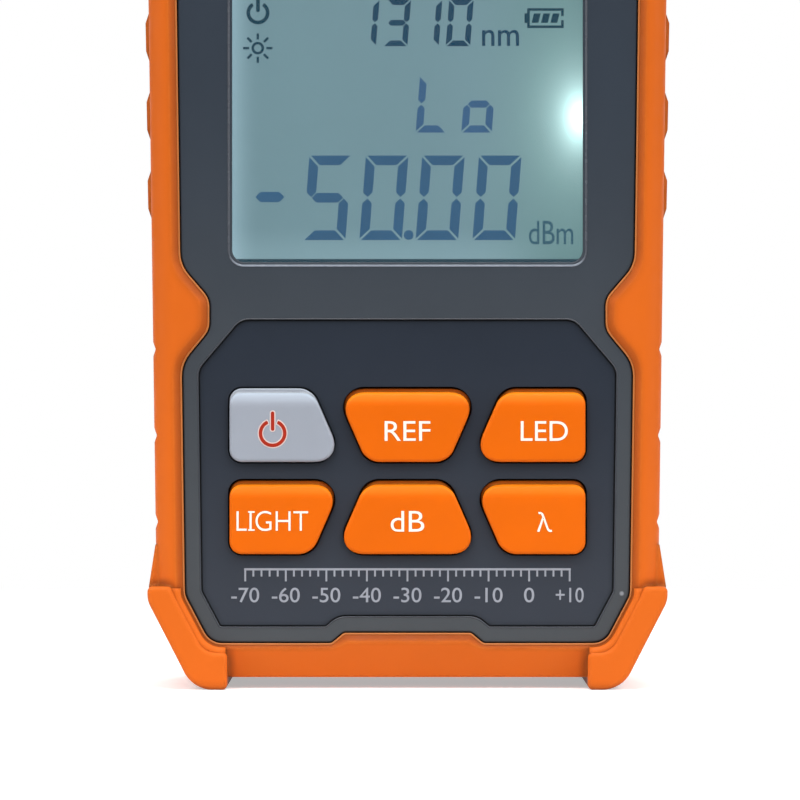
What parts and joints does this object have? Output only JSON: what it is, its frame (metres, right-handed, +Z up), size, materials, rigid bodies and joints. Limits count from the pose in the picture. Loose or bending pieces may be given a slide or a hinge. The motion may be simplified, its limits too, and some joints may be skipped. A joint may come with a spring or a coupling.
{
  "type": "optical power meter",
  "caption": "Handheld optical power meter: dark case in a rubber boot with corner guards, display window, slanted keys, capped fibre port and torch at the head.",
  "frame": {"origin": "middle of the footprint at the level of the lower guards' feet, meter standing upright", "axes": "+Z up the meter towards the fibre port, face towards -Y, +X to the right as seen facing the display"},
  "size_m": [0.0838, 0.033, 0.1513],
  "materials": {
    "boot_rubber": "satin",
    "case_plastic": "fine grain",
    "overlay_film": "smooth film",
    "key_orange": "satin",
    "key_grey": "satin",
    "lens_clear": "polished",
    "display_cell": "semi-gloss",
    "guide_acrylic": "clear acrylic",
    "strip_rubber": "matt",
    "frame_white": "satin",
    "board_green": "solder mask",
    "switch_black": "matt",
    "plunger_plastic": "satin",
    "screw_steel": "zinc plated",
    "contact_steel": "nickel plated",
    "cell_sleeve": "printed sleeve, plain",
    "panel_plastic": "fine grain",
    "adapter_nickel": "nickel plated",
    "cap_rubber": "matt",
    "diode_resin": "clear resin"
  },
  "bodies": {
    "housing": {"rubber_boot": "boot_rubber", "front_cover": "case_plastic", "rear_cover": "case_plastic", "keypad_overlay": "overlay_film", "display_lens": "lens_clear", "torch_lens": "lens_clear", "display_glass": "display_cell", "light_guide": "guide_acrylic", "contact_strip": "strip_rubber", "display_frame": "frame_white", "main_board": "board_green", "port_board": "board_green", "key_switches": "switch_black", "case_screws": "screw_steel", "board_screws": "screw_steel", "adapter_screws": "screw_steel", "low_contacts": "contact_steel", "high_contacts": "contact_steel", "battery_cell_left": "cell_sleeve", "battery_cell_middle": "cell_sleeve", "battery_cell_right": "cell_sleeve", "end_panel": "panel_plastic", "fibre_adapter": "adapter_nickel", "light_detector": "adapter_nickel", "torch_ring": "adapter_nickel", "torch_reflector": "adapter_nickel", "torch_diode": "diode_resin"},
    "battery_hatch": {"battery_door": "case_plastic"},
    "port_cap": {"dust_cap": "cap_rubber"},
    "power_button": {"power_key": "key_grey", "power_plunger": "plunger_plastic"},
    "reference_button": {"reference_key": "key_orange", "reference_plunger": "plunger_plastic"},
    "lamp_button": {"lamp_key": "key_orange", "lamp_plunger": "plunger_plastic"},
    "backlight_button": {"backlight_key": "key_orange", "backlight_plunger": "plunger_plastic"},
    "decibel_button": {"decibel_key": "key_orange", "decibel_plunger": "plunger_plastic"},
    "wavelength_button": {"wavelength_key": "key_orange", "wavelength_plunger": "plunger_plastic"}
  },
  "joints": [
    {"name": "power_press", "type": "slide", "parent": "housing", "child": "power_button", "axis": [0, 1, 0], "range_m": [0, 0.0006], "stiffness_N_per_m": 800},
    {"name": "reference_press", "type": "slide", "parent": "housing", "child": "reference_button", "axis": [0, 1, 0], "range_m": [0, 0.0006], "stiffness_N_per_m": 800},
    {"name": "lamp_press", "type": "slide", "parent": "housing", "child": "lamp_button", "axis": [0, 1, 0], "range_m": [0, 0.0006], "stiffness_N_per_m": 800},
    {"name": "backlight_press", "type": "slide", "parent": "housing", "child": "backlight_button", "axis": [0, 1, 0], "range_m": [0, 0.0006], "stiffness_N_per_m": 800},
    {"name": "decibel_press", "type": "slide", "parent": "housing", "child": "decibel_button", "axis": [0, 1, 0], "range_m": [0, 0.0006], "stiffness_N_per_m": 800},
    {"name": "wavelength_press", "type": "slide", "parent": "housing", "child": "wavelength_button", "axis": [0, 1, 0], "range_m": [0, 0.0006], "stiffness_N_per_m": 800},
    {"name": "battery_door_swing", "type": "hinge", "parent": "housing", "child": "battery_hatch", "pos_m": [0, 0.0155, 0.0211], "axis": [-1, 0, 0], "range_deg": [0, 50]},
    {"name": "dust_cap_pull", "type": "slide", "parent": "housing", "child": "port_cap", "axis": [0, 0, 1], "range_m": [0, 0.065]}
  ]
}
